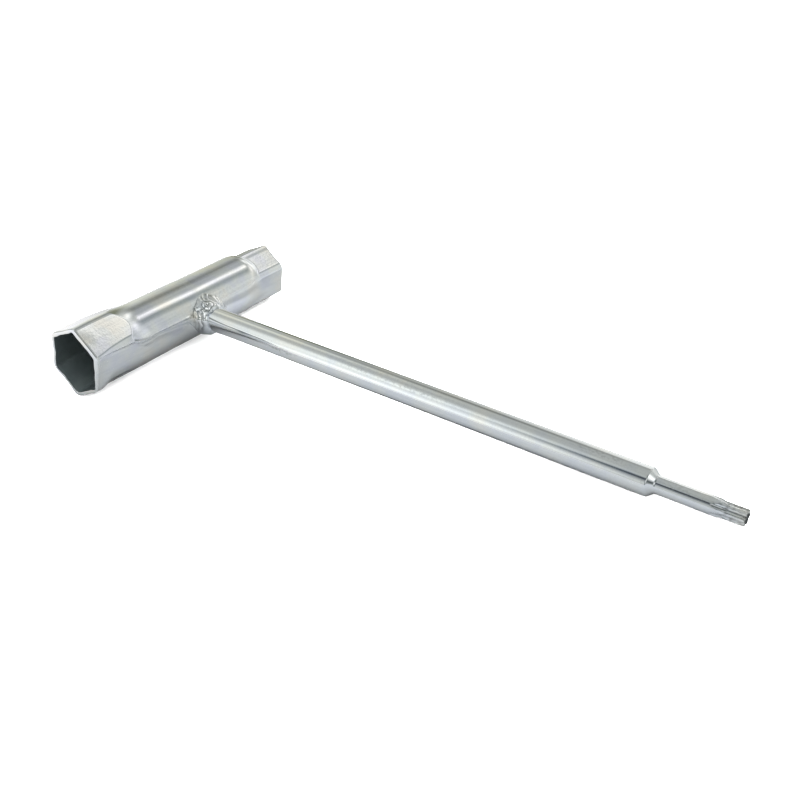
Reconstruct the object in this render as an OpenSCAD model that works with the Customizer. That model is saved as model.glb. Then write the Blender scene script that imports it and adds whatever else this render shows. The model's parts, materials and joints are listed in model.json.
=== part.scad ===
// Combination box spanner: a steel tube with a hexagon socket pressed into
// each end, and a round driver bar with a six-lobe tip welded to its side.
// The tube lies along Y and the bar along +X, and the two axes cross at the
// origin. Lengths are in millimetres and angles in degrees.

/* [Socket tube] */
// Outside diameter of the round middle of the tube
tube_d = 20; // [18.5:0.1:21]
// Wall thickness of the round middle
tube_wall = 1.5; // [1.2:0.1:1.8]
// Distance from the bar's axis to the large mouth
large_reach = 46.3; // [42:0.1:60]
// Distance from the bar's axis to the small mouth
small_reach = 38.9; // [34:0.1:50]
// Turn of both hexagons about the tube's axis, away from the bar's axis
hex_turn = -7; // [-30:0.5:30]

/* [Large socket] */
// Width across flats inside the large socket, for a 19 mm hexagon
large_af = 19.2; // [18.9:0.1:19.4]
// Width across flats outside the large socket
large_af_out = 22; // [21.6:0.1:22.6]
// Radius of the outside corners of the large hexagon
large_corner_r = 2; // [1.2:0.1:3]
// Length of the large hexagon along its corners, from the mouth
large_depth = 13.8; // [10:0.1:16]

/* [Small socket] */
// Width across flats inside the small socket, for a 13 mm hexagon
small_af = 13.2; // [12.6:0.1:13.4]
// Width across flats outside the small socket
small_af_out = 16.8; // [16.2:0.1:17.2]
// Radius of the outside corners of the small hexagon
small_corner_r = 1.2; // [0.8:0.1:2.4]
// Length of the small hexagon along its corners, from the mouth
small_depth = 12.9; // [8:0.1:14]

/* [Driver bar] */
// Diameter of the bar
bar_d = 8; // [7.5:0.1:9]
// Distance from the tube's axis to the shoulder where the bar steps down
bar_reach = 169; // [100:1:180]
// Diameter of the neck behind the tip
neck_d = 5; // [4.8:0.1:5.6]
// Distance from the tube's axis to the end of the tip
tip_reach = 194.5; // [190:0.5:250]

/* [Six-lobe tip] */
// Diameter over the lobes, for a size 25 recess
lobe_d = 4.48; // [4.3:0.01:4.6]
// Diameter across the flutes
flute_d = 3.2; // [3.1:0.01:3.3]
// Radius of the crest of each lobe
lobe_r = 0.37; // [0.34:0.01:0.4]
// Length of the tip at its full form
tip_length = 5; // [4:0.5:8]
// Length over which the flutes run out into the neck
runout = 4.5; // [3:0.5:6]
// Turn of the lobes about the bar's axis
lobe_turn = 52; // [0:1:60]

/* [Weld] */
// Leg of the fillet weld along the tube
weld_leg_tube = 3.2; // [2:0.1:3.6]
// Leg of the fillet weld along the bar
weld_leg_bar = 4.4; // [2:0.1:4.5]
// Height of the weld's face over a flat fillet
swell = 0.7; // [0.2:0.1:0.9]
// Depth to which the weld melts into the bar
fusion = 0.4; // [0.2:0.1:0.8]

/* [Hidden] */

$fn = 96;
past = 1;                 // how far a cutter runs past the face that it cuts
corner_steps = 5;         // straight steps round each hexagon corner
crest_steps = 4;          // straight steps round each lobe crest
flute_steps = 6;          // straight steps round each flute

tube_r = tube_d / 2;
bore_r = tube_r - tube_wall;
bar_r = bar_d / 2;
neck_r = neck_d / 2;

// The shoulders are cones, given by how far along the tube they take 1 mm
// of radius.
large_slope = 3;
small_slope = 2;
large_corner = corner_radius(large_af_out, large_corner_r);
large_shoulder_y = -large_reach + large_depth;
large_round_y = large_shoulder_y + (large_corner - tube_r) * large_slope;
small_shoulder_y = small_reach - small_depth;
small_round_y = small_shoulder_y
    - (tube_r - corner_radius(small_af_out, small_corner_r)) * small_slope;
wall_shift = 0.6;         // inside shoulders start this much nearer the mouth
large_bore_y = large_round_y - wall_shift;
small_bore_y = small_round_y - 2 * wall_shift;

// The inside corners keep what the wall leaves of the outside corner radius.
large_inner_r = large_corner_r - (large_af_out - large_af) / 2 + 0.2;
small_inner_r = 0.6;

// Under the weld the bar keeps only what has not melted.
root_r = bar_r - fusion;
weld_end_x = tube_r + weld_leg_bar;

shoulder_length = 1.2 * (bar_r - neck_r);
tip_chamfer = 0.35;
crest_taper = 3;          // length over which the crests drop from the neck

// Radius of each flute, from the crests and the flutes being tangent.
crest_at = lobe_d / 2 - lobe_r;
flute_at = flute_d / 2;
flute_r = (lobe_r * lobe_r - crest_at * crest_at - flute_at * flute_at
        + 2 * crest_at * flute_at * cos(30))
    / (2 * flute_at - 2 * crest_at * cos(30) - 2 * lobe_r);
flute_centre = flute_at + flute_r;
full_form_x = tip_reach - tip_length;

// Distance from the centre to the middle of a rounded hexagon corner.
function corner_radius(af, r) = (af / 2 - r) / cos(30) + r;

// Points of an arc about c from angle a to angle b.
function arc(c, r, a, b, steps) =
    [for (i = [0:steps])
        c + r * [cos(a + (b - a) * i / steps), sin(a + (b - a) * i / steps)]];

// Hexagon with a flat facing the first axis and its corners rounded to r.
function hex_outline(af, r) =
    [for (k = [0:5])
        let (side = 60 * k + 30, out = (af / 2 - r) / cos(30))
        each arc(out * [cos(side), sin(side)], r, side - 30, side + 30,
            corner_steps)];

// Angle at which a crest's arc meets the next flute's arc, seen from the
// middle of the crest.
meet = atan2(flute_centre * sin(30), flute_centre * cos(30) - crest_at);

// Six crests and six flutes that are tangent to each other.
function lobe_outline() =
    [for (k = [0:5])
        let (crest = 60 * k, flute = crest + 30, turn = meet - 30)
        each concat(
            arc(crest_at * [cos(crest), sin(crest)], lobe_r,
                crest - meet, crest + meet, crest_steps),
            arc(flute_centre * [cos(flute), sin(flute)], flute_r,
                flute + 180 + turn, flute + 180 - turn, flute_steps))];

// Extrudes an outline in the XZ plane along Y, from y0 to y1.
module along_y(y0, y1) {
    translate([0, y1, 0])
        rotate([90, 0, 0])
            linear_extrude(y1 - y0) children();
}

// Turns an outline of [radius, y] points about the Y axis.
module about_y(outline) {
    rotate([-90, 0, 0]) rotate_extrude() polygon(outline);
}

// Turns an outline of [radius, x] points about the X axis.
module about_x(outline) {
    rotate([0, 90, 0]) rotate_extrude() polygon(outline);
}

// Stretch of a rounded hexagon bar along Y, turned as the sockets are.
module hexagon(af, corner, y0, y1) {
    rotate([0, -hex_turn, 0])
        along_y(y0, y1) polygon(hex_outline(af, corner));
}

// The large hexagon is wider than the tube, so its shoulder trims it down
// to the round of radius r at y_round.
module large_form(af, corner, r, y_mouth, y_round) {
    wide = af / cos(30);
    intersection() {
        hexagon(af, corner, y_mouth, y_round);
        about_y([
            [0, y_mouth - past], [wide, y_mouth - past],
            [wide, y_round - (wide - r) * large_slope], [r, y_round],
            [0, y_round]
        ]);
    }
}

// The small hexagon is narrower than the tube, so the shoulder narrows from
// the round of radius r at y_round and dies into its flats. Both run on
// inside the round, so that they join it.
module small_form(af, corner, r, y_round, y_mouth) {
    inner = af / 2 - past / 2;
    y_inner = y_round + (r - inner) * small_slope;
    hexagon(af, corner, y_round - past, y_mouth);
    about_y([
        [0, y_round - past], [inner, y_round - past], [r, y_round],
        [inner, y_inner], [0, y_inner]
    ]);
}

// Tube with a hexagon socket at each end and a round bore between them.
module socket_tube() {
    color([0.74, 0.75, 0.75]) difference() {
        union() {
            large_form(large_af_out, large_corner_r, tube_r,
                -large_reach, large_round_y);
            along_y(large_round_y - past, small_round_y) circle(tube_r);
            small_form(small_af_out, small_corner_r, tube_r,
                small_round_y, small_reach);
        }
        large_form(large_af, large_inner_r, bore_r,
            -large_reach - past, large_bore_y);
        along_y(large_bore_y - past, small_bore_y) circle(bore_r);
        small_form(small_af, small_inner_r, bore_r,
            small_bore_y, small_reach + past);
    }
}

// One cutter for each flute, tilted so that it leaves the neck's surface.
module flute_runouts() {
    rise = atan((neck_r - flute_at) / runout);
    for (k = [0:5])
        rotate([lobe_turn + 60 * k + 30, 0, 0])
            translate([full_form_x, flute_centre, 0])
                rotate([0, -90, 0])
                    rotate([-rise, 0, 0])
                        translate([0, 0, -past])
                            cylinder(h = 2 * runout, r = flute_r);
}

// Full form of the tip, with its end edge broken. It starts inside the neck.
module lobed_tip() {
    start = full_form_x - past;
    crest_r = lobe_d / 2;
    intersection() {
        translate([start, 0, 0])
            rotate([lobe_turn, 0, 0])
                rotate([90, 0, 90])
                    linear_extrude(tip_length + past) polygon(lobe_outline());
        about_x([
            [0, start - past], [bar_r, start - past],
            [bar_r, tip_reach - bar_r + crest_r - tip_chamfer],
            [crest_r - tip_chamfer, tip_reach], [0, tip_reach]
        ]);
    }
}

// Bar that butts against the tube, steps down to a neck and ends in the tip.
module driver_bar() {
    neck_x = bar_reach + shoulder_length;
    color([0.78, 0.79, 0.79]) union() {
        difference() {
            about_x([
                [0, tube_r / 2], [root_r, tube_r / 2], [root_r, weld_end_x],
                [bar_r, weld_end_x], [bar_r, bar_reach],
                [neck_r, neck_x], [neck_r, full_form_x - crest_taper],
                [lobe_d / 2, full_form_x], [0, full_form_x]
            ]);
            along_y(-tube_r, tube_r) circle(tube_r);
            flute_runouts();
        }
        lobed_tip();
    }
}

// Ring of weld metal that fills the corner between the bar and the tube.
module weld_bead() {
    toe_r = bar_r + weld_leg_tube;
    toe_x = sqrt(tube_r * tube_r - toe_r * toe_r);
    middle = [(bar_r + toe_r) / 2 + swell, (toe_x + weld_end_x) / 2 + swell];
    color([0.8, 0.8, 0.79]) difference() {
        about_x([
            [bar_r / 2, toe_x - past], [toe_r, toe_x - past], [toe_r, toe_x],
            [(toe_r + middle[0] + swell / 2) / 2, (toe_x + middle[1]) / 2],
            middle,
            [(bar_r + middle[0]) / 2, (weld_end_x + middle[1] + swell / 2) / 2],
            [bar_r, weld_end_x], [bar_r / 2, weld_end_x]
        ]);
        along_y(-tube_d, tube_d) circle(tube_r);
        about_x([
            [0, 0], [root_r, 0], [root_r, weld_end_x + past],
            [0, weld_end_x + past]
        ]);
    }
}

socket_tube();
driver_bar();
weld_bead();
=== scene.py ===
"""Looks for a combination box spanner: a zinc-plated tube with a hexagon socket pressed
into each end, and a round bar with a six-lobe tip that is welded to the tube's side.

The three CAD solids are stood for by finer meshes of the same sizes, with the marks that
pressing, cutting and welding leave. The tube lies along Y and the bar along +X. Lengths are
in millimetres and angles in degrees until a mesh, a light or the camera is made.
"""

import json
import math

import bmesh
import bpy
import numpy as np
from mathutils import Matrix, Vector


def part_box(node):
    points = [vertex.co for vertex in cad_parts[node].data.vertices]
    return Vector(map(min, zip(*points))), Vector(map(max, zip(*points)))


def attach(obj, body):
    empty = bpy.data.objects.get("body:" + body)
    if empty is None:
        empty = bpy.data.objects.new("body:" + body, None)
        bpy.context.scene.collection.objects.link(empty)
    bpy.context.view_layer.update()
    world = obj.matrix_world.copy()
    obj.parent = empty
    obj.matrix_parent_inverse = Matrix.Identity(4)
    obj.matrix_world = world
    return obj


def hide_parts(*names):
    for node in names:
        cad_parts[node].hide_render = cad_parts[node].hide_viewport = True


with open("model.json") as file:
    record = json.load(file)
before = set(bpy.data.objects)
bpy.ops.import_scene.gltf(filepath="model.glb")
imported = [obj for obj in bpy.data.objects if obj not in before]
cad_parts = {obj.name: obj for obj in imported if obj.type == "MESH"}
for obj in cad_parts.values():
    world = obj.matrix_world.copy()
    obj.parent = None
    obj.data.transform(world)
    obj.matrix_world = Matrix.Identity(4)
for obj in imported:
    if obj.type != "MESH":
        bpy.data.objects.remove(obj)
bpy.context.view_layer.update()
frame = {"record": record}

MM = 0.001
mounts = {mount["name"]: mount for mount in frame["record"]["mounts"]}
tube_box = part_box("socket_tube")
bar_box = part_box("driver_bar")

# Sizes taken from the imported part
LARGE_Y = tube_box[0].y / MM            # plane of the large mouth
SMALL_Y = tube_box[1].y / MM            # plane of the small mouth
TIP_X = bar_box[1].x / MM               # end of the six-lobe tip
BAR_R = mounts["bar_shank"]["dims"]["r_mm"]
BORE_R = mounts["tube_bore"]["dims"]["r_mm"]
SHANK_X = mounts["bar_shank"]["pos_m"][0] / MM
SHANK_LENGTH = mounts["bar_shank"]["dims"]["length_mm"]
SHOULDER_X = SHANK_X + SHANK_LENGTH / 2  # where the bar steps down to its neck
WELD_END_X = SHANK_X - SHANK_LENGTH / 2  # where the weld ends on the bar

# Tube
TUBE_R = 10.0
HEX_TURN = -7.0                         # middle of the first flat, from +X towards +Z
LARGE_FLATS_END_Y = -31.0               # the large flats have died into the shoulder here
SHOULDER_FROM_Y = -26.6                 # the large shoulder's cone would meet the round here
LARGE_ROUND_Y = -18.0                   # the round middle starts here
SMALL_ROUND_Y = 25.0                    # the small shoulder leaves the round here
LARGE_SLOPE, SMALL_SLOPE = 3.0, 2.0     # length of shoulder for 1 mm of radius
WALL_SHIFT = 0.6                        # inside shoulders lie this much nearer the mouth
OUTER_EDGE, INNER_EDGE = 0.42, 0.30     # rounding of the rims
EDGE_STEPS = 6                          # rings over each of those edges
PER_FLAT = 60                           # points along each flat

# Flats of the sockets, which the pressing left uneven: the angle each one faces, from +X
# towards +Z, and its distance from the axis. The large socket has them at its mouth and,
# past SQUEEZE_Y, deeper in. A last one stands for the corner that the die squeezed flat.
LARGE_MOUTH_OUT = ((-17, 9.8), (52.5, 11.05), (113.5, 10.65), (171, 10.8), (232, 11.1),
                   (295, 10.6), (318, 12.0))
LARGE_DEEP_OUT = ((-10, 10.35), (53, 11.0), (113, 10.85), (173, 10.95), (233, 11.05),
                  (293, 10.15), (320, 10.08))
LARGE_MOUTH_IN = ((-9, 8.8), (53, 9.3), (115, 9.25), (171, 9.5), (233, 9.8), (295, 9.4))
LARGE_DEEP_IN = ((-8, 9.0), (53, 9.55), (113, 9.5), (173, 9.6), (233, 9.6), (293, 9.0))
SMALL_OUT = ((-7.5, 8.4), (53, 8.3), (115, 8.4), (173, 8.4), (233, 8.6), (298, 9.4))
SMALL_IN = ((-7.5, 6.65), (53, 6.6), (113, 6.65), (173, 6.65), (233, 6.8), (296, 7.2))
SQUEEZE_Y = -39.5

# How deep each flat is dished where it meets the mouth, first flat first
LARGE_DISH = (0.02, 0.10, 0.10, 0.12, 0.14, 0.05)
SMALL_DISH = (0.02, 0.06, 0.08, 0.20, 0.20, 0.08)

# Width over which the outside corners are rounded, and what some corners have more or less
# of it: the corner's angle, how far round it that reaches, and the change
LARGE_ROUNDING, SMALL_ROUNDING = 1.2, 0.9
LARGE_CORNERS = ((83, 20, 0.6), (203, 20, 0.4), (261, 20, 0.7))
SMALL_CORNERS = ((23, 20, 1.3), (83, 18, -0.4))
INNER_ROUNDING = 0.7                    # of the large socket's inside corners

# Bar and tip
NECK_R = 2.5
STEP_SLOPE = 1.2                        # length of the step to the neck for 1 mm of radius
NECK_X = SHOULDER_X + STEP_SLOPE * (BAR_R - NECK_R)
LOBE_D, FLUTE_D, LOBE_R = 4.48, 3.2, 0.37
LOBE_TURN = 52.0                        # middle of a lobe, from +Y towards +Z
FULL_FORM_X = TIP_X - 5.0
RUNOUT_X = FULL_FORM_X - 4.0
CREST_STEP_X = TIP_X - 7.4              # the lobes step down from the neck here
COLLAR_X = TIP_X - 9.5                  # faint swelling that the lobe die raised
END_CHAMFER = 0.14
BAR_POINTS = 216                        # round each ring of the bar

# Weld
WELD_R = 6.6                            # radius of its edge on the tube
WELD_SHIFT = 1.0                        # it sits this much towards the small socket
WELD_SINK = 0.1                         # its edges run this far into the tube and the bar
WELD_BOW = 1.1                          # twice as far as its face bows out at its middle
WELD_STEP = 0.28                        # height that it gains at once at its edges
WELD_RINGS = 73                         # rings over its face
WELD_POINTS = 360                       # round each of them
CRATER = (12.5, -1.5, 5.1)              # where the arc stopped
CRATER_SIZE = 2.3                       # how far the crater reaches
CRATER_RING = 1.75                      # from one of its rings to the next
PIT_SIZE = 0.5                          # of the pit in its middle

# Lumps on the weld: middle, width and height. The fourth hangs at the bottom.
LUMPS = (
    ((13.2, 2.2, 4.6), 0.9, 0.25),
    ((12.2, -3.6, 3.6), 0.8, 0.22),
    ((13.4, -3.9, 1.2), 0.7, 0.20),
    ((11.0, 0.4, -6.6), 1.5, 0.35),
    ((10.6, 4.2, 5.2), 2.0, 0.40),
)


# ---------------------------------------------------------------- shapes
def smooth_min(a, b, width):
    """The smaller of a and b, with the edge between them rounded over width."""
    share = np.clip(0.5 + (b - a) / (2 * width), 0, 1)
    return b * (1 - share) + a * share - width * share * (1 - share)


def smooth_max(a, b, width):
    """The larger of a and b, with the hollow between them filled over width."""
    return -smooth_min(-a, -b, width)


def fade(value, start, end):
    """0 before start, 1 after end, and a smooth ramp between them."""
    t = np.clip((value - start) / (end - start), 0, 1)
    return t * t * (3 - 2 * t)


def cos_d(angle):
    """Cosine of an angle in degrees."""
    return np.cos(np.radians(angle))


def sin_d(angle):
    """Sine of an angle in degrees."""
    return np.sin(np.radians(angle))


def steps(start, end, size):
    """Places from start up to, but not on, end, about size apart."""
    count = max(1, round(abs(end - start) / size))
    return np.linspace(start, end, count, endpoint=False)


def by_flat(turn, values):
    """The value that belongs to the flat at an angle."""
    return np.asarray(values)[(np.floor((turn + 30) / 60) % 6).astype(int)]


def off_flat(turn):
    """Angle from the middle of the nearest flat."""
    return np.abs((turn + 30) % 60 - 30)


def inside_flats(angle, flats, width):
    """Radius at an angle of the shape that lies inside all flats, with its corners
    rounded over width. A flat's angle and distance may differ from point to point."""
    radius = 3 * TUBE_R                     # farther out than any flat
    for facing, distance in flats:
        side = distance / np.maximum(cos_d(angle - facing), 0.3)
        radius = smooth_min(radius, side, width)
    return radius


def near_angle(angle, middle, width):
    """1 at the middle angle, falling smoothly to both sides of it."""
    away = (angle - middle + 180) % 360 - 180
    return np.exp(-(away / width) ** 2)


def between(mouth, deep, share):
    """Flats that pass from those at the mouth to those deeper in."""
    return [(a[0] + (b[0] - a[0]) * share, a[1] + (b[1] - a[1]) * share)
            for a, b in zip(mouth, deep)]


def rounding_at(angle, width, corners):
    """Width over which the corners are rounded at an angle."""
    for corner, reach, change in corners:
        width = width + change * near_angle(angle, corner, reach)
    return width


def large_outside(angle, y):
    """Radius of the large end: flats that stand outside the round, dished near the mouth,
    and a shoulder that falls to the round."""
    turn = angle - HEX_TURN
    dished = (1 - fade(y - LARGE_Y, 0.3, 5)) * (1 - fade(off_flat(turn), 2, 22))
    squeezed = fade(y, LARGE_Y + 0.8, SQUEEZE_Y)
    rounding = rounding_at(angle, LARGE_ROUNDING, LARGE_CORNERS)
    # The corner beside the first flat gets rounder towards the shoulder
    rounding = rounding + 1.9 * fade(y, LARGE_Y, LARGE_FLATS_END_Y) * near_angle(angle, 23, 22)
    flats = between(LARGE_MOUTH_OUT, LARGE_DEEP_OUT, squeezed)
    large = inside_flats(angle, flats, rounding) - by_flat(turn, LARGE_DISH) * dished
    # The shoulder is steeper and tighter past the flat that the die left highest
    steep = near_angle(angle, 48, 40)
    shoulder = TUBE_R + (SHOULDER_FROM_Y - 0.5 * steep - y) / (LARGE_SLOPE - 0.8 * steep)
    shoulder = smooth_max(shoulder, TUBE_R, 2.4 - 1.0 * steep)
    return smooth_min(large, shoulder, 0.10)


def small_outside(angle, y):
    """Radius of the small end: flats pressed into the round, dished along their whole
    length, and a shoulder that runs out into the first flat more slowly."""
    turn = angle - HEX_TURN
    dished = (1 - fade(off_flat(turn), 19, 27)) * fade(y - SMALL_ROUND_Y, 1, 4)
    rounding = rounding_at(angle, SMALL_ROUNDING, SMALL_CORNERS)
    small = inside_flats(angle, SMALL_OUT, rounding) - by_flat(turn, SMALL_DISH) * dished
    slow = near_angle(angle, -20, 35)
    shoulder = TUBE_R - (y - SMALL_ROUND_Y + 2.5 * slow) / (SMALL_SLOPE + 2.5 * slow)
    shoulder = smooth_min(TUBE_R, shoulder, 0.8 + 1.2 * slow)
    small = smooth_max(small, shoulder, 0.2 + 0.8 * slow)
    # It stands nowhere outside the round
    return smooth_min(small, TUBE_R + 0.02, 0.3)


def tube_outside(angle, y):
    """Radius of the tube's outer surface, with faint waves on its round middle."""
    wave = 0.025 * np.sin(np.radians(2 * angle + 6 * y) + 0.7)
    wave += 0.015 * np.sin(np.radians(3 * angle - 11 * y))
    middle = fade(y - LARGE_ROUND_Y, -6, 0) * (1 - fade(y - SMALL_ROUND_Y, -5, 2))
    ends = np.where(y < 0, large_outside(angle, y), small_outside(angle, y))
    # Drawn in a little, so that the waves hardly stand out of the round
    return ends + (wave - 0.03) * middle


def tube_inside(angle, y):
    """Radius of the tube's inner surface, lumpy near the large mouth."""
    turn = angle - HEX_TURN
    off = off_flat(turn)
    lumps = 0.07 * sin_d(9 * turn + 40) + 0.05 * sin_d(17 * turn + 10)
    lumps *= 1 - fade(y - LARGE_Y, 1, 8)
    flats = between(LARGE_MOUTH_IN, LARGE_DEEP_IN, fade(y, LARGE_Y + 0.8, SQUEEZE_Y))
    large = inside_flats(angle, flats, INNER_ROUNDING) + lumps
    shoulder = BORE_R + (SHOULDER_FROM_Y - WALL_SHIFT - y) / LARGE_SLOPE
    large_end = smooth_min(large, smooth_max(shoulder, BORE_R, 2.0), 0.2)
    dished = (1 - fade(off, 12, 25)) * fade(y - SMALL_ROUND_Y, 2, 6)
    small = inside_flats(angle, SMALL_IN, 0.6) - 0.8 * by_flat(turn, SMALL_DISH) * dished
    shoulder = BORE_R - (y - SMALL_ROUND_Y + 2 * WALL_SHIFT) / SMALL_SLOPE
    small_end = smooth_max(small, smooth_min(BORE_R, shoulder, 0.8), 0.2)
    return np.where(y < 0, large_end, small_end)


def rim_setback(angle, mouth):
    """How far the rim is drawn back from its plane at an angle."""
    turn = angle - HEX_TURN
    off = off_flat(turn)
    if mouth == LARGE_Y:
        return by_flat(turn, LARGE_DISH) * 0.9 * (1 - fade(off, 3, 22))
    return by_flat(turn, SMALL_DISH) * 2.5 * (1 - fade(off, 8, 24))


def hexagon_angles(per_side):
    """Angles round the tube, closer together at the hexagons' corners."""
    u = np.linspace(-1, 1, per_side, endpoint=False)
    side = 30 * (1.2 * u - 0.2 * u ** 3)
    return np.concatenate([HEX_TURN + 60 * k + side for k in range(6)])


def tube_points(angle, radius, y):
    """Points of one ring round the tube's axis."""
    back = rim_setback(angle, LARGE_Y) * (1 - fade(y - LARGE_Y, 0, 5))
    back -= rim_setback(angle, SMALL_Y) * (1 - fade(SMALL_Y - y, 0, 5))
    return np.stack([radius * cos_d(angle), y + back, radius * sin_d(angle)], axis=-1)


def rim_rings(angle, mouth, inward):
    """Rings over a rim, from its outer edge to its inner one. inward is the direction
    along Y from the mouth into the tube."""
    outer = tube_outside(angle, np.full_like(angle, mouth + inward * OUTER_EDGE))
    inner = tube_inside(angle, np.full_like(angle, mouth + inward * INNER_EDGE))
    rings = []
    # Both edges of the rim are quarter rounds
    for bend in np.linspace(0, 90, EDGE_STEPS):
        radius = outer - OUTER_EDGE * (1 - cos_d(bend))
        y = mouth + inward * OUTER_EDGE * (1 - sin_d(bend))
        rings.append((radius, np.full_like(angle, y)))
    for bend in np.linspace(90, 0, EDGE_STEPS):
        radius = inner + INNER_EDGE * (1 - cos_d(bend))
        y = mouth + inward * INNER_EDGE * (1 - sin_d(bend))
        rings.append((radius, np.full_like(angle, y)))
    return [tube_points(angle, radius, y) for radius, y in rings]


def tube_stations():
    """Places along the tube, closer together in the shoulders and at the mouths."""
    mouth_end_y = LARGE_Y + 6
    shoulder_y = LARGE_FLATS_END_Y - 3
    small_shoulder_y, small_flats_y = SMALL_ROUND_Y - 3, SMALL_ROUND_Y + 7
    places = [
        steps(LARGE_Y + OUTER_EDGE, mouth_end_y, 0.45),
        steps(mouth_end_y, shoulder_y, 1.0),
        steps(shoulder_y, LARGE_ROUND_Y, 0.3),
        steps(LARGE_ROUND_Y, small_shoulder_y, 1.3),
        steps(small_shoulder_y, small_flats_y, 0.25),
        steps(small_flats_y, SMALL_Y - OUTER_EDGE, 0.45),
    ]
    return np.concatenate(places)


def tube_rings():
    """Rings that run along the outside, over the small rim, back along the inside and
    over the large rim. With them come the first row of faces inside, and the first one
    past the inside."""
    angle = hexagon_angles(PER_FLAT)
    stations = tube_stations()
    outside = [tube_points(angle, tube_outside(angle, np.full_like(angle, y)), y)
               for y in stations]
    small_rim = rim_rings(angle, SMALL_Y, -1)
    # The smooth inside needs only every second station
    clear = 0.6
    within = stations[(stations > LARGE_Y + clear) & (stations < SMALL_Y - clear)][::-2]
    inside = [tube_points(angle, tube_inside(angle, np.full_like(angle, y)), y)
              for y in within]
    large_rim = rim_rings(angle, LARGE_Y, 1)[::-1]
    first_inside = len(outside) + len(small_rim) - 1
    past_inside = len(outside) + len(small_rim) + len(inside)
    return np.array(outside + small_rim + inside + large_rim), first_inside, past_inside


def flute_radius(angle, x):
    """Distance from the bar's axis to the flutes that are cut along the tip."""
    crest_at = LOBE_D / 2 - LOBE_R
    flute_at = FLUTE_D / 2
    cut_r = ((LOBE_R ** 2 - crest_at ** 2 - flute_at ** 2
              + 2 * crest_at * flute_at * cos_d(30))
             / (2 * flute_at - 2 * crest_at * cos_d(30) - 2 * LOBE_R))
    start = NECK_R + 0.02                   # just outside the neck
    depth = np.clip((x - RUNOUT_X) / (FULL_FORM_X - RUNOUT_X), 0, 1)
    centre = start - (start - flute_at) * depth + cut_r
    off = (angle - LOBE_TURN) % 60 - 30
    reach = cut_r ** 2 - (centre * sin_d(off)) ** 2
    near_side = centre * cos_d(off) - np.sqrt(np.maximum(reach, 0))
    return np.where((reach > 0) & (x > RUNOUT_X), near_side, BAR_R)


def bar_radius(angle, x):
    """Radius of the bar, its shoulder, neck and tip."""
    shoulder = BAR_R - (x - SHOULDER_X) / STEP_SLOPE
    radius = smooth_min(BAR_R, shoulder, 0.12)
    radius = smooth_max(radius, NECK_R, 0.25)
    collar = 0.1 * np.exp(-((x - COLLAR_X) / 0.7) ** 2) * fade(cos_d(angle - 30), 0, 0.9)
    step = fade(x, CREST_STEP_X, CREST_STEP_X + 1.4)
    crest = NECK_R - (NECK_R - LOBE_D / 2) * step
    # The crests set no limit to the bar before they begin
    crest = np.where(x < CREST_STEP_X - 1, 2 * BAR_R, crest)
    radius = smooth_min(radius + collar, crest, 0.02)
    radius = smooth_min(radius, flute_radius(angle, x), 0.05)
    end_edge = LOBE_D / 2 - END_CHAMFER + (TIP_X - x)
    return smooth_min(radius, end_edge, 0.06)


def bar_rings():
    """Rings along the bar, from inside the tube's wall to the end of the tip."""
    angle = np.linspace(0, 360, BAR_POINTS, endpoint=False)
    places = np.concatenate([
        steps(TUBE_R - 1, SHOULDER_X - 1, 2.0),
        steps(SHOULDER_X - 1, NECK_X + 1, 0.12),
        steps(NECK_X + 1, RUNOUT_X - 0.5, 1.2),
        steps(RUNOUT_X - 0.5, TIP_X - 0.5, 0.2),
        np.linspace(TIP_X - 0.5, TIP_X, 9),
    ])
    rings = []
    for x in places:
        radius = bar_radius(angle, np.full_like(angle, x))
        rings.append(np.stack([np.full_like(angle, x), radius * cos_d(angle),
                               radius * sin_d(angle)], axis=-1))
    return np.array(rings)


def scallops(phase, sharp=0.8):
    """Rounded crests 1 apart with sharp valleys between them, from 0 to 1."""
    return np.abs(np.sin(math.pi * phase)) ** sharp


def bulge(point, middle, width):
    """1 at a place on the weld, falling smoothly around it."""
    away = np.linalg.norm(point - np.array(middle), axis=-1)
    return np.exp(-(away / width) ** 2)


def crater(point):
    """Height of the crater, rings round a small pit, and 1 near it, falling around it."""
    away = np.linalg.norm(point - np.array(CRATER), axis=-1)
    around = np.arctan2(point[..., 1] - CRATER[1], point[..., 0] - CRATER[0])
    uneven = 0.18 * np.sin(3 * around + 0.5) + 0.1 * np.sin(5 * around)
    rings = scallops((away + uneven) / CRATER_RING)
    near = np.exp(-(away / CRATER_SIZE) ** 2)
    pit = np.exp(-(away / PIT_SIZE) ** 2)
    return (0.25 + 0.40 * rings) * near - 0.35 * pit, near


def weld_height(turn, across, point):
    """How far the weld's face stands out from a smooth fillet. turn runs round the bar and
    across runs from the tube, 0, to the bar, 1."""
    middle = 4 * across * (1 - across)
    last = near_angle(turn, 165, 48)        # where the welding ended
    lower = near_angle(turn, 245, 32)       # smoother stretch
    height, near = crater(point)
    # Ridges along the bead, left by its last two passes
    wander = 0.22 * sin_d(2 * turn) + 0.16 * sin_d(5 * turn + 60) + 0.10 * sin_d(11 * turn)
    ridges = 0.42 * last * (scallops(1.8 * across + wander) - 0.5)
    # Ripples of the frozen pool, bowed along the bead and fainter below the bar
    bow = 1.1 * (2 * across - 1) ** 2 + 0.15 * sin_d(7 * turn)
    fine = 0.22 * (1 - lower) * (1 - 0.7 * last) + 0.04 * lower
    ripples = fine * (scallops(turn / 20 + bow) - 0.5)
    height += (1 - near) * middle * (ridges + ripples)
    height += 0.07 * middle * sin_d(6 * turn + 200 * across) * (1 - lower)
    for place, width, rise in LUMPS:
        height += rise * bulge(point, place, width)
    return height


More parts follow.
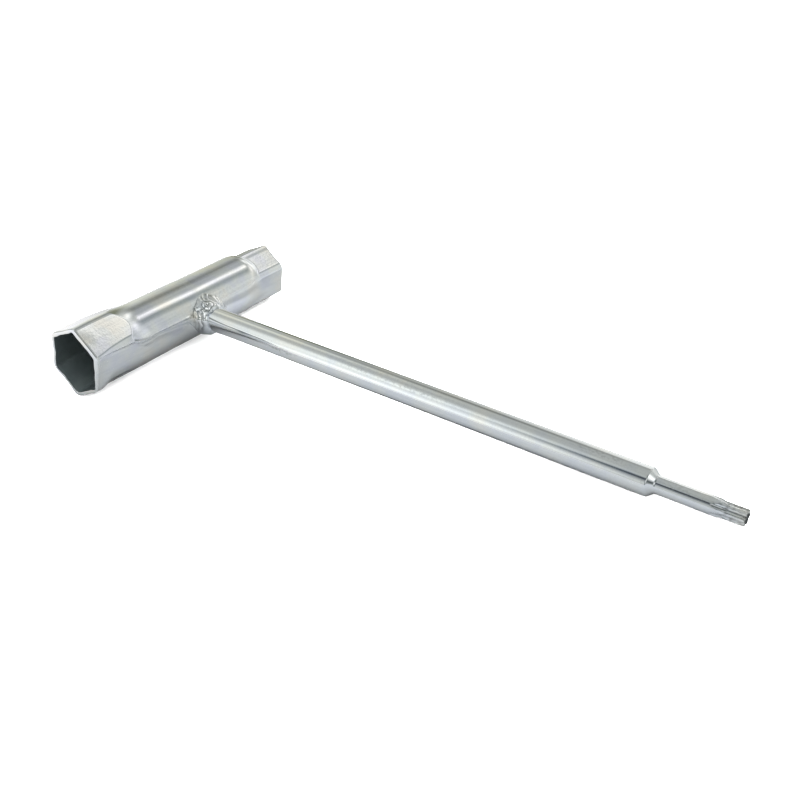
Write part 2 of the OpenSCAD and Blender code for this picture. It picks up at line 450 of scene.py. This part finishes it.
def weld_rings():
    """Closed rings of the weld: over its face from the tube to the bar, and back inside
    the steel."""
    turn = np.linspace(0, 360, WELD_POINTS, endpoint=False)
    edge = WELD_R + WELD_SHIFT * cos_d(turn)
    edge += 0.30 * near_angle(turn, 275, 28) - 0.45 * near_angle(turn, 205, 32)
    edge += 0.16 * sin_d(5 * turn + 60) + 0.08 * sin_d(11 * turn + 20)
    end_x = WELD_END_X + 0.25 * sin_d(2 * turn - 60) + 0.15 * sin_d(7 * turn)
    end_x += 0.5 * near_angle(turn, 200, 45)
    out_y, out_z = cos_d(turn), sin_d(turn)

    def at(x, radius):
        return np.stack([x, radius * out_y, radius * out_z], axis=-1)

    def tube_x(radius):
        return np.sqrt(TUBE_R ** 2 - (radius * out_z) ** 2)

    tube_toe = at(tube_x(edge) - WELD_SINK, edge)
    bar_toe = at(end_x, np.full_like(turn, BAR_R - WELD_SINK))
    run_x = end_x - tube_x(edge)
    run_r = edge - BAR_R
    length = np.hypot(run_x, run_r)
    facing = at(run_r / length, run_x / length)
    control = (tube_toe + bar_toe) / 2 + WELD_BOW * facing
    rings = []
    for t in np.linspace(0, 1, WELD_RINGS):
        base = (1 - t) ** 2 * tube_toe + 2 * t * (1 - t) * control + t ** 2 * bar_toe
        height = weld_height(turn, t, base)
        step = WELD_STEP * float(fade(min(t, 1 - t), 0, 0.05))
        keep = float(fade(min(t, 1 - t), 0, 0.10))
        rings.append(base + facing * (height * keep + step)[:, None])
    # Back inside the bar and the tube, out of sight
    root_r = np.full_like(turn, BAR_R - 0.3)
    rings.append(at(end_x - 0.3, root_r))
    rings.append(at(tube_x(root_r) - 0.3, root_r))
    rings.append(at(tube_x(edge - 0.4) - 0.5, edge - 0.4))
    return np.array(rings)


# ---------------------------------------------------------------- meshes
def ring_faces(first, second, around):
    """Faces between two rings of points, given by the number of each ring's first point."""
    faces = []
    for k in range(around):
        m = (k + 1) % around
        faces.append((first + k, first + m, second + m, second + k))
    return faces


def fill_ring(points, faces, ring, first):
    """Adds the points and faces that fill a ring: two smaller rings and a fan. first is
    the number of the ring's first point."""
    around = len(ring)
    middle = ring.mean(axis=0)
    for share in (0.72, 0.36):
        inner = len(points)
        points += [Vector(middle + (p - middle) * share) * MM for p in ring]
        faces += ring_faces(first, inner, around)
        first = inner
    points.append(Vector(middle) * MM)
    faces += [(first + k, first + (k + 1) % around, len(points) - 1) for k in range(around)]


def make_mesh(name, rings, closed):
    """A closed mesh from rings of points. Where the rings don't close on themselves, the
    first and last of them are filled."""
    count, around = rings.shape[:2]
    points = [Vector(p) for p in rings.reshape(-1, 3) * MM]
    faces = []
    for i in range(count if closed else count - 1):
        faces += ring_faces(i * around, (i + 1) % count * around, around)
    if not closed:
        for ring in (0, count - 1):
            fill_ring(points, faces, rings[ring], ring * around)
    mesh = bpy.data.meshes.new(name)
    mesh.from_pydata(points, [], faces)
    shape = bmesh.new()
    shape.from_mesh(mesh)
    bmesh.ops.recalc_face_normals(shape, faces=shape.faces)
    shape.to_mesh(mesh)
    shape.free()
    mesh.shade_smooth()
    piece = bpy.data.objects.new(name, mesh)
    bpy.context.scene.collection.objects.link(piece)
    return piece


# ---------------------------------------------------------------- materials
# Scales of the plating's marks, in cycles per metre
TINT_SCALE = 110                        # cool and warm clouds
CLOUD_SCALE = 260                       # duller and brighter clouds
GRAIN_SCALE = 1900                      # fine dark grain
PIT_SCALE = 1500                        # fine pits
SCUFF_SCALE = (900, 1500, 1500)         # scuffs in the worn zones
SCUFF_DEPTH = 0.004                     # in millimetres

WHITE = (1.0, 1.0, 1.0)
STREAK_SHADE = (0.93, 0.93, 0.94)
GRAIN_SHADE = (0.96, 0.96, 0.965)
WORN_SHADE = (0.02, 0.018, 0.015)


def new_material(name):
    """An empty material, and its node tree."""
    material = bpy.data.materials.new(name)
    material.use_nodes = True
    material.node_tree.nodes.clear()
    return material, material.node_tree


def new_metal(name, metallic):
    """A material with a metal shader, its node tree and the shader."""
    material, tree = new_material(name)
    shader = tree.nodes.new("ShaderNodeBsdfPrincipled")
    shader.inputs["Metallic"].default_value = metallic
    output = tree.nodes.new("ShaderNodeOutputMaterial")
    tree.links.new(shader.outputs["BSDF"], output.inputs["Surface"])
    return material, tree, shader


def noise(tree, scale, detail, shift):
    """Noise in the piece's own space. scale is in cycles per metre, one number or one for
    each of X, Y and Z, and shift sets one noise apart from another."""
    place = tree.nodes.new("ShaderNodeTexCoord")
    mapping = tree.nodes.new("ShaderNodeMapping")
    if isinstance(scale, (int, float)):
        scale = (scale,) * 3
    mapping.inputs["Scale"].default_value = scale
    mapping.inputs["Location"].default_value = (shift, shift * 0.7, shift * 1.3)
    texture = tree.nodes.new("ShaderNodeTexNoise")
    texture.inputs["Scale"].default_value = 1.0
    texture.inputs["Detail"].default_value = detail
    tree.links.new(place.outputs["Object"], mapping.inputs["Vector"])
    tree.links.new(mapping.outputs["Vector"], texture.inputs["Vector"])
    return texture.outputs["Fac"]


def ramp(tree, fac, stops):
    """Colours at places between 0 and 1 of fac."""
    node = tree.nodes.new("ShaderNodeValToRGB")
    node.color_ramp.interpolation = "EASE"
    while len(node.color_ramp.elements) < len(stops):
        node.color_ramp.elements.new(0.5)
    for element, (place, colour) in zip(node.color_ramp.elements, stops):
        element.position = place
        element.color = (*colour, 1)
    tree.links.new(fac, node.inputs["Fac"])
    return node.outputs["Color"]


def spread(tree, fac, low, high, to_low, to_high):
    """fac from low to high becomes a number from to_low to to_high."""
    node = tree.nodes.new("ShaderNodeMapRange")
    values = (("From Min", low), ("From Max", high), ("To Min", to_low), ("To Max", to_high))
    for socket, value in values:
        node.inputs[socket].default_value = value
    tree.links.new(fac, node.inputs["Value"])
    return node.outputs["Result"]


def multiply(tree, first, second):
    """Product of two colours."""
    node = tree.nodes.new("ShaderNodeMix")
    node.data_type = "RGBA"
    node.blend_type = "MULTIPLY"
    node.inputs["Factor"].default_value = 1.0
    tree.links.new(first, node.inputs["A"])
    tree.links.new(second, node.inputs["B"])
    return node.outputs["Result"]


def bump(tree, height, depth, below=None):
    """Bumps of a depth in millimetres, on top of the bumps below."""
    node = tree.nodes.new("ShaderNodeBump")
    node.inputs["Strength"].default_value = 1.0
    node.inputs["Distance"].default_value = depth * MM
    tree.links.new(height, node.inputs["Height"])
    if below is not None:
        tree.links.new(below, node.inputs["Normal"])
    return node.outputs["Normal"]


def in_zone(tree, middle, size):
    """1 around a place given in millimetres, and 0 from size away along each axis."""
    place = tree.nodes.new("ShaderNodeTexCoord")
    mapping = tree.nodes.new("ShaderNodeMapping")
    mapping.inputs["Scale"].default_value = [1 / (length * MM) for length in size]
    mapping.inputs["Location"].default_value = [-at / length for at, length in zip(middle, size)]
    apart = tree.nodes.new("ShaderNodeVectorMath")
    apart.operation = "LENGTH"
    tree.links.new(place.outputs["Object"], mapping.inputs["Vector"])
    tree.links.new(mapping.outputs["Vector"], apart.inputs[0])
    return spread(tree, apart.outputs["Value"], 0.4, 1.0, 1.0, 0.0)


def calculate(tree, operation, first, second):
    """Result of a calculation on two numbers, each a socket or a value."""
    node = tree.nodes.new("ShaderNodeMath")
    node.operation = operation
    for socket, value in zip(node.inputs, (first, second)):
        if isinstance(value, (int, float)):
            socket.default_value = value
        else:
            tree.links.new(value, socket)
    return node.outputs["Value"]


def mix_shader(tree, fac, first, second):
    """The first shader where fac is 0 and the second where it is 1."""
    node = tree.nodes.new("ShaderNodeMixShader")
    tree.links.new(fac, node.inputs["Fac"])
    tree.links.new(first, node.inputs[1])
    tree.links.new(second, node.inputs[2])
    return node.outputs["Shader"]


def paint_crease_shade(tree, dark, reach):
    """Painted shade: white where the mesh is even or stands out, and dark in each crease of it,
    where shade would fall. reach is how far the painted shade spreads out of a crease, from 0 to
    1."""
    node = tree.nodes.new("ShaderNodeNewGeometry")
    return ramp(tree, node.outputs["Pointiness"],
                [(0.44 + 0.03 * reach, (dark, dark, 0.95 * dark)),
                 (0.49 + 0.008 * reach, WHITE)])


def steel(name, colours, roughness, lines, line_depth, grain_depth, worn=(), painted_crease_shade=1.0,
          reach=0.0):
    """Zinc-plated steel. colours are the plating's tints from cool to warm, roughness is
    its lowest and highest value, and lines is the scale of the marks along the piece.
    line_depth and grain_depth, in millimetres, are how deep those marks and the fine pits
    are. worn gives zones, each by its middle, size, darkening and added roughness. The
    crease argument gives how dark the painted shade in each crease of the mesh is, and
    reach how far that painted shade spreads."""
    material, tree, shader = new_metal(name, 1.0)
    tint = ramp(tree, noise(tree, TINT_SCALE, 2.5, 3.0),
                [(0.36, colours[0]), (0.50, colours[1]), (0.64, colours[2])])
    streak = ramp(tree, noise(tree, lines, 4.0, 7.0), [(0.30, STREAK_SHADE), (0.60, WHITE)])
    grain = ramp(tree, noise(tree, GRAIN_SCALE, 2.0, 9.0), [(0.36, GRAIN_SHADE), (0.60, WHITE)])
    colour = multiply(tree, multiply(tree, tint, streak), grain)
    # Painted shade in each crease of the mesh
    if painted_crease_shade < 1:
        colour = multiply(tree, colour, paint_crease_shade(tree, painted_crease_shade, reach))
    rough = spread(tree, noise(tree, CLOUD_SCALE, 4.0, 11.0), 0.3, 0.7, *roughness)
    scuffs = noise(tree, SCUFF_SCALE, 5.0, 2.0)
    depth = None
    for middle, size, dark, added in worn:
        marks = spread(tree, scuffs, 0.44, 0.60, 0.0, 1.0)
        share = calculate(tree, "MULTIPLY", in_zone(tree, middle, size), marks)
        shade = ramp(tree, calculate(tree, "MULTIPLY", share, dark),
                     [(0.0, WHITE), (1.0, WORN_SHADE)])
        colour = multiply(tree, colour, shade)
        rough = calculate(tree, "ADD", rough, calculate(tree, "MULTIPLY", share, added))
        depth = share if depth is None else calculate(tree, "MAXIMUM", depth, share)
    tree.links.new(colour, shader.inputs["Base Color"])
    tree.links.new(rough, shader.inputs["Roughness"])
    normal = bump(tree, noise(tree, lines, 3.0, 1.0), line_depth)
    normal = bump(tree, noise(tree, PIT_SCALE, 2.0, 5.0), grain_depth, normal)
    if depth is not None:
        normal = bump(tree, depth, SCUFF_DEPTH, normal)
    tree.links.new(normal, shader.inputs["Normal"])
    return material


def bore_steel_painted_shade(name):
    """Dull steel inside the tube, with a very dark colour that paints the shade of the deep
    bore.
    """
    material, tree, shader = new_metal(name, 0.45)
    tint = ramp(tree, noise(tree, (120, 60, 120), 4.0, 2.0),
                [(0.30, (0.029, 0.039, 0.041)), (0.70, (0.045, 0.058, 0.058))])
    tree.links.new(tint, shader.inputs["Base Color"])
    patches = spread(tree, noise(tree, (300, 80, 300), 3.0, 4.0), 0.3, 0.7, 0.45, 0.62)
    tree.links.new(patches, shader.inputs["Roughness"])
    normal = bump(tree, noise(tree, (900, 160, 900), 3.0, 6.0), 0.02)
    tree.links.new(normal, shader.inputs["Normal"])
    return material


# ---------------------------------------------------------------- pieces
def make_tube():
    """Tube with its two sockets, plated outside, and dull inside with a dark colour that paints
    the shade of the bore.
    """
    rings, first_inside, past_inside = tube_rings()
    piece = make_mesh("pressed_socket_tube", rings, closed=True)
    cool, plain, warm = (0.78, 0.79, 0.84), (0.83, 0.84, 0.83), (0.87, 0.85, 0.80)
    worn = (
        ((9.0, 5.0, 3.0), (4.0, 26.0, 6.0), 0.10, 0.10),      # below the middle
        ((2.0, 0.0, 10.0), (4.0, 30.0, 2.0), 0.10, 0.05),     # along the top
        ((7.0, -42.0, 8.5), (8.0, 12.0, 6.0), 0.05, 0.04),    # flat beside the large mouth
        ((5.0, 35.0, 7.0), (8.0, 8.0, 6.0), 0.08, 0.04),      # flat beside the small mouth
    )
    piece.data.materials.append(
        steel("tube_zinc_plate", (cool, plain, warm), roughness=(0.10, 0.16),
              lines=(1500, 60, 1500), line_depth=0.003, grain_depth=0.005, worn=worn))
    # Inside: dull steel whose very dark colour is painted shade of the bore
    piece.data.materials.append(bore_steel_painted_shade("tube_bore_steel_painted_shade"))
    around = rings.shape[1]
    inside = range(first_inside * around, past_inside * around)
    for index in inside:
        piece.data.polygons[index].material_index = 1
    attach(piece, "root")
    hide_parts("socket_tube")


def make_bar():
    """Round bar with its neck and six-lobe tip."""
    piece = make_mesh("six_lobe_driver_bar", bar_rings(), closed=False)
    cool, plain, warm = (0.79, 0.81, 0.84), (0.83, 0.84, 0.835), (0.86, 0.85, 0.815)
    worn = (
        ((88.0, -2.2, 3.6), (45.0, 2.2, 2.4), 0.14, 0.16),    # rubbed in the middle
        ((46.0, -4.0, 0.5), (8.0, 1.2, 1.2), 0.40, 0.10),     # small mark
        ((155.0, -1.5, 3.8), (14.0, 1.4, 1.2), 0.25, 0.10),   # beside the shoulder
        ((191.0, 0.0, 0.0), (9.0, 4.0, 4.0), 0.50, 0.14),     # tip, worn by use
        ((178.0, -1.0, 2.2), (10.0, 2.0, 1.5), 0.20, 0.10),   # neck
        ((195.0, 0.0, 0.0), (1.4, 4.0, 4.0), 0.85, 0.20),     # sheared end
    )
    # The bar gets painted shade in each crease, such as its flutes and the corner at its
    # shoulder
    piece.data.materials.append(
        steel("bar_zinc_plate", (cool, plain, warm), roughness=(0.06, 0.11),
              lines=(20, 1700, 1700), line_depth=0.003, grain_depth=0.001, worn=worn,
              painted_crease_shade=0.35))
    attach(piece, "root")
    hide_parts("driver_bar")


def make_weld():
    """Weld that joins the bar to the tube."""
    piece = make_mesh("rippled_weld_bead", weld_rings(), closed=True)
    cool, plain, warm = (0.78, 0.81, 0.84), (0.84, 0.85, 0.85), (0.86, 0.85, 0.81)
    # The weld gets dark painted shade in each crease and along its edges, spread wide
    piece.data.materials.append(
        steel("weld_zinc_plate", (cool, plain, warm), roughness=(0.07, 0.12),
              lines=(500, 500, 500), line_depth=0.006, grain_depth=0.002, painted_crease_shade=0.15,
              reach=1.0))
    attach(piece, "root")
    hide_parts("weld_bead")


# ---------------------------------------------------------------- studio
# Painted light and painted shade on the floor that the metal reflects: middle, size along X
# and Y, and how much of the painted light they get, or the tint of the painted shade
PAINTED_LIGHT_PATCHES = (
    (13, 17, 17, 27, 0.85),                       # beside the tube
    (68, 92, 16, 18, 1.0),                        # seen in the small socket's corner
)
PAINTED_SHADE_PATCHES = (
    (-85, 85, 110, 85, (0.50, 0.50, 0.43)),       # behind the tube
    (-45, 42, 45, 45, (0.62, 0.62, 0.55)),        # behind the small socket
    (105, -0.5, 75, 4.5, (0.50, 0.51, 0.52)),     # below the bar
    (197, 4, 7, 8, (0.18, 0.19, 0.19)),           # beyond the tip
    (36, 42, 28, 28, (0.76, 0.76, 0.76)),         # between the bar and the small socket
    (-60, 240, 200, 140, (0.62, 0.62, 0.62)),     # far behind
)
# Painted shade: the floor outside the painted light patches gets this share of it
PAINTED_SHADE_ELSEWHERE = 0.66                            # how much of the light the rest of the floor gets
# Painted shade of the floor as the metal sees it: darker on the side of the bar, lighter behind
# the tube
PAINTED_FLOOR_NEAR, PAINTED_FLOOR_BEHIND = (0.168, 0.177, 0.182), (0.268, 0.268, 0.276)
FLOOR_SIZE = 6.0                        # in metres
FLOOR_GAP = 0.0001                      # in metres, below the points that it touches


def floor_contacts():
    """Points of the spanner that touch the floor: the lowest point of each socket's rim,
    the large one first, and the bottom of the tip."""
    angle = np.arange(200, 340, 0.5)
    contacts = []
    for mouth in (LARGE_Y + OUTER_EDGE, SMALL_Y - OUTER_EDGE):
        ring = tube_points(angle, tube_outside(angle, np.full_like(angle, mouth)), mouth)
        contacts.append(Vector(ring[ring[:, 2].argmin()]))
    contacts.append(Vector((TIP_X, 0, -LOBE_D / 2)))
    return contacts


def floor_paper_with_painted_light(origin):
    """Paper that the camera sees as plain and pale. The metal and the light see a darker, shaded
    copy of it with painted light and painted shade in stretches. origin is the floor's own
    origin, in millimetres."""
    material, tree = new_material("floor_paper_with_painted_light")
    pale = tree.nodes.new("ShaderNodeBsdfDiffuse")
    pale.inputs["Color"].default_value = (0.9, 0.9, 0.9, 1)
    painted_copy = tree.nodes.new("ShaderNodeBsdfDiffuse")
    place = tree.nodes.new("ShaderNodeTexCoord")
    behind = tree.nodes.new("ShaderNodeVectorMath")
    behind.operation = "DOT_PRODUCT"
    behind.inputs[1].default_value = (-1.0, -0.4, 0.0)
    tree.links.new(place.outputs["Object"], behind.inputs[0])
    share = spread(tree, behind.outputs["Value"], -0.01, 0.09, 0.0, 1.0)
    shade = ramp(tree, share, [(0.0, PAINTED_FLOOR_NEAR), (1.0, PAINTED_FLOOR_BEHIND)])

    def patch(x, y, size_x, size_y):
        middle = (x - origin.x, y - origin.y, 0)
        return in_zone(tree, middle, (size_x, size_y, 1000))

    # Painted light in patches, painted shade on the rest and in the dark patches
    painted_lit = 0.0
    for *zone, amount in PAINTED_LIGHT_PATCHES:
        painted_lit = calculate(tree, "MAXIMUM", calculate(tree, "MULTIPLY", patch(*zone), amount), painted_lit)
    shade = multiply(tree, shade, ramp(tree, painted_lit, [(0.0, (PAINTED_SHADE_ELSEWHERE,) * 3), (1.0, WHITE)]))
    for *zone, tint in PAINTED_SHADE_PATCHES:
        shade = multiply(tree, shade, ramp(tree, patch(*zone), [(0.0, WHITE), (1.0, tint)]))
    tree.links.new(shade, painted_copy.inputs["Color"])
    # The camera sees the pale paper; everything else sees the darker copy with painted light and
    # shade
    path = tree.nodes.new("ShaderNodeLightPath")
    seen = mix_shader(tree, path.outputs["Is Camera Ray"], painted_copy.outputs["BSDF"],
                      pale.outputs["BSDF"])
    output = tree.nodes.new("ShaderNodeOutputMaterial")
    tree.links.new(seen, output.inputs["Surface"])
    return material


def make_floor():
    """Pale floor that the spanner lies on."""
    large, small, tip = floor_contacts()
    up = (tip - large).cross(small - large).normalized()
    if up.z < 0:
        up = -up
    along = Vector((1, 0, 0)).cross(up).normalized()
    turn = Matrix((along.cross(up) * -1, along * -1, up)).transposed().to_4x4()
    mesh = bpy.data.meshes.new("floor")
    half = FLOOR_SIZE / 2
    mesh.from_pydata([(-half, -half, 0), (half, -half, 0), (half, half, 0), (-half, half, 0)],
                     [], [(0, 1, 2, 3)])
    mesh.materials.append(floor_paper_with_painted_light(large))
    floor = bpy.data.objects.new("floor", mesh)
    floor.matrix_world = Matrix.Translation(large * MM - up * FLOOR_GAP) @ turn
    bpy.context.scene.collection.objects.link(floor)


# Soft panels and dark flags of the light tent: azimuth from +X towards +Y, elevation,
# width as the angle at which they fall to 60%, strength (negative for a flag), and colour
PANELS = (
    ("front_softbox", -124, 10, 10, 0.85, (0.97, 1.0, 1.0)),
    ("front_top", -130, 40, 11, 0.78, (0.95, 1.0, 0.98)),
    ("front_flag", -115, 41, 7, -0.85, (0.97, 1.0, 0.95)),
    ("front_low_flag", -101, 27, 8, -0.35, (0.97, 1.0, 0.95)),
    ("left_strip", 158, 47, 6, 0.35, (1.0, 1.0, 0.80)),
    ("left_wall", 153, 11, 15, 0.50, (1.0, 1.0, 0.84)),
    ("back_left_flag", 130, 11, 9, -0.52, (0.98, 1.0, 1.05)),
    ("top_flag", 128, 41, 8, -0.28, (0.95, 1.0, 1.0)),
    ("back_wall", 104, 10, 11, 0.80, (1.0, 1.0, 1.0)),
    ("back_window", 106, 34, 5.5, 0.75, (1.0, 1.0, 1.0)),
    ("back_strip", 75, 52, 4.5, 1.02, (1.0, 0.96, 0.92)),
    ("back_spot", 78, 26, 7, 0.60, (1.0, 0.97, 1.0)),
    ("strip_flag", 70, 43, 4, -0.12, (1.0, 1.0, 1.0)),
    ("right_flag", 53, 44, 6, -0.22, (1.05, 1.0, 0.95)),
    ("right_wall", 50, 14, 17, 0.38, (0.97, 1.0, 1.0)),
    ("camera_window", -2, 33, 10, 1.10, (0.98, 1.0, 1.0)),
    ("tip_flag", 24, 20, 8, -0.42, (1.0, 1.0, 1.0)),
    ("camera_flag", -25, 14, 7, -0.42, (0.98, 1.0, 0.96)),
    ("low_window", -60, 28, 9, 1.00, (0.98, 1.0, 1.0)),
    ("low_flag", -80, 6, 10, -0.45, (1.0, 0.98, 0.96)),
    ("front_roof_flag", -112, 61, 8, -0.16, (0.98, 1.0, 1.0)),
    ("roof_flag", -55, 62, 14, -0.42, (0.98, 1.0, 0.98)),
)
TENT = (0.475, 0.50, 0.49)
FLAG_LIMIT = 0.05                       # how dark the flags can make the tent
EVEN_LIGHT = 6.5                        # on everything that is not shiny

# Azimuth, elevation and roll of the camera, its place in metres, and its focal length
CAMERA_TURN = (37.0175, 31.3324, -0.5417)
CAMERA_PLACE = (0.25312, -0.21714, 0.16150)
CAMERA_LENS, CAMERA_SENSOR = 48.69, 36


def direction(azimuth, elevation):
    """Unit vector towards an azimuth, from +X towards +Y, and an elevation."""
    return (cos_d(azimuth) * cos_d(elevation), sin_d(azimuth) * cos_d(elevation),
            sin_d(elevation))


def make_world():
    """Light tent: a dim wall all round with soft bright panels on it. The metal reflects
    the panels, the floor gets an even light, and the camera sees white."""
    world = bpy.data.worlds.new("light_tent")
    bpy.context.scene.world = world
    world.use_nodes = True
    world.cycles.sampling_method = "NONE"
    tree = world.node_tree
    tree.nodes.clear()
    place = tree.nodes.new("ShaderNodeTexCoord")

    def vector_math(operation, first, second):
        node = tree.nodes.new("ShaderNodeVectorMath")
        node.operation = operation
        tree.links.new(first, node.inputs[0])
        if isinstance(second, tuple):
            node.inputs[1].default_value = second
        else:
            tree.links.new(second, node.inputs["Scale" if operation == "SCALE" else 1])
        return node

    total = None
    for name, azimuth, elevation, width, strength, colour in PANELS:
        sharpness = 1 / math.radians(width) ** 2
        facing = vector_math("DOT_PRODUCT", place.outputs["Generated"],
                             direction(azimuth, elevation))
        power = tree.nodes.new("ShaderNodeMath")
        power.operation = "MULTIPLY_ADD"
        power.inputs[1].default_value = sharpness
        power.inputs[2].default_value = -sharpness
        tree.links.new(facing.outputs["Value"], power.inputs[0])
        glow = tree.nodes.new("ShaderNodeMath")
        glow.operation = "EXPONENT"
        tree.links.new(power.outputs["Value"], glow.inputs[0])
        tint = tree.nodes.new("ShaderNodeCombineXYZ")
        tint.name = name
        for socket, value in zip(tint.inputs, colour):
            socket.default_value = value * strength
        panel = vector_math("SCALE", tint.outputs["Vector"], glow.outputs["Value"])
        start = TENT if total is None else total
        total = vector_math("ADD", panel.outputs["Vector"], start).outputs["Vector"]
    total = vector_math("MAXIMUM", total, (FLAG_LIMIT,) * 3).outputs["Vector"]

    def background(colour):
        node = tree.nodes.new("ShaderNodeBackground")
        if isinstance(colour, tuple):
            node.inputs["Color"].default_value = (*colour, 1)
        else:
            tree.links.new(colour, node.inputs["Color"])
        return node.outputs["Background"]

    path = tree.nodes.new("ShaderNodeLightPath")
    seen = mix_shader(tree, path.outputs["Is Camera Ray"], background(total),
                      background(WHITE))
    seen = mix_shader(tree, path.outputs["Is Diffuse Ray"], seen,
                      background((EVEN_LIGHT,) * 3))
    output = tree.nodes.new("ShaderNodeOutputWorld")
    tree.links.new(seen, output.inputs["Surface"])


def make_overhead_light():
    """Big soft lamp over the floor, which gives the faint shadow under the spanner."""
    lamp = bpy.data.lights.new("overhead", "AREA")
    lamp.shape = "SQUARE"
    lamp.size = 1.4
    lamp.energy = 6.0
    light = bpy.data.objects.new("overhead", lamp)
    light.location = (0.1, 0.1, 1.3)
    light.visible_glossy = False
    light.visible_camera = False
    bpy.context.scene.collection.objects.link(light)


def make_camera():
    """Camera at the height and side from which the spanner is shown."""
    azimuth, elevation, roll = CAMERA_TURN
    back = Vector((sin_d(azimuth) * cos_d(elevation), -cos_d(azimuth) * cos_d(elevation),
                   sin_d(elevation)))
    level = Vector((cos_d(azimuth), sin_d(azimuth), 0))
    upright = back.cross(level)
    right = level * cos_d(roll) + upright * sin_d(roll)
    up = back.cross(right)
    data = bpy.data.cameras.new("camera")
    data.lens = CAMERA_LENS
    data.sensor_width = CAMERA_SENSOR
    data.clip_start = 0.01
    camera = bpy.data.objects.new("camera", data)
    turn = Matrix((right, up, back)).transposed().to_4x4()
    camera.matrix_world = Matrix.Translation(CAMERA_PLACE) @ turn
    bpy.context.scene.collection.objects.link(camera)
    bpy.context.scene.camera = camera


make_camera()
make_tube()
make_bar()
make_weld()
make_floor()
make_world()
make_overhead_light()
bpy.context.scene.view_settings.view_transform = "Standard"
